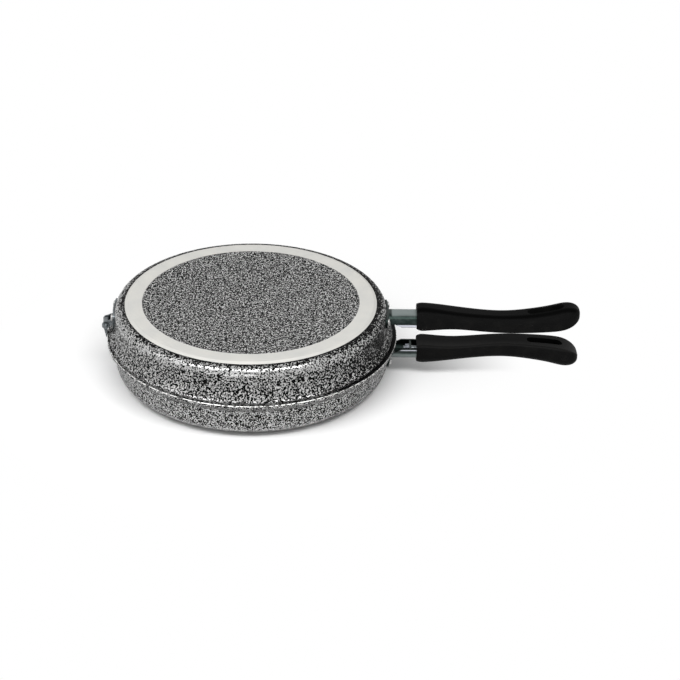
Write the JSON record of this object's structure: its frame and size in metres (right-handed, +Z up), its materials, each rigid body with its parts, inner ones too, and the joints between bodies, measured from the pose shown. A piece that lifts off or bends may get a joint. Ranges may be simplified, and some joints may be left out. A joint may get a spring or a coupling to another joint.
{
  "type": "double sided flip pan",
  "caption": "Round double sided pan: two speckled aluminium halves hinged at the rim, each with a riveted steel bracket and a long black moulded grip.",
  "frame": {"origin": "centre of the lower pan's base, on the plane that it rests on", "axes": "+X towards the grips, +Z up from the lower pan to the upper pan, +Y completes the right hand frame"},
  "size_m": [0.4618, 0.28, 0.075],
  "materials": {
    "speckled_coating": "speckled gloss non-stick coating on pressed aluminium",
    "plated_steel": "bright zinc plate",
    "bare_aluminium": "as formed",
    "black_moulding": "semi gloss phenolic"
  },
  "bodies": {
    "lower_half": {"lower_pan": "speckled_coating", "lower_handle_bracket": "plated_steel", "lower_bracket_rivets": "bare_aluminium", "lower_hinge_rivets": "bare_aluminium", "lower_grip": "black_moulding", "lower_grip_bolt": "plated_steel", "lower_grip_washer": "plated_steel", "lower_grip_nut": "plated_steel", "lower_hinge_leaf": "plated_steel"},
    "upper_half": {"upper_pan": "speckled_coating", "upper_handle_bracket": "plated_steel", "upper_bracket_rivets": "bare_aluminium", "upper_hinge_rivets": "bare_aluminium", "upper_grip": "black_moulding", "upper_grip_bolt": "plated_steel", "upper_grip_washer": "plated_steel", "upper_grip_nut": "plated_steel", "upper_hinge_leaf": "plated_steel", "hinge_pin": "plated_steel", "hinge_pin_ring": "plated_steel"}
  },
  "joints": [
    {"name": "pan_hinge", "type": "hinge", "parent": "lower_half", "child": "upper_half", "pos_m": [-0.1408, 0, 0.049], "axis": [0, -1, 0], "range_deg": [0, 180]}
  ]
}
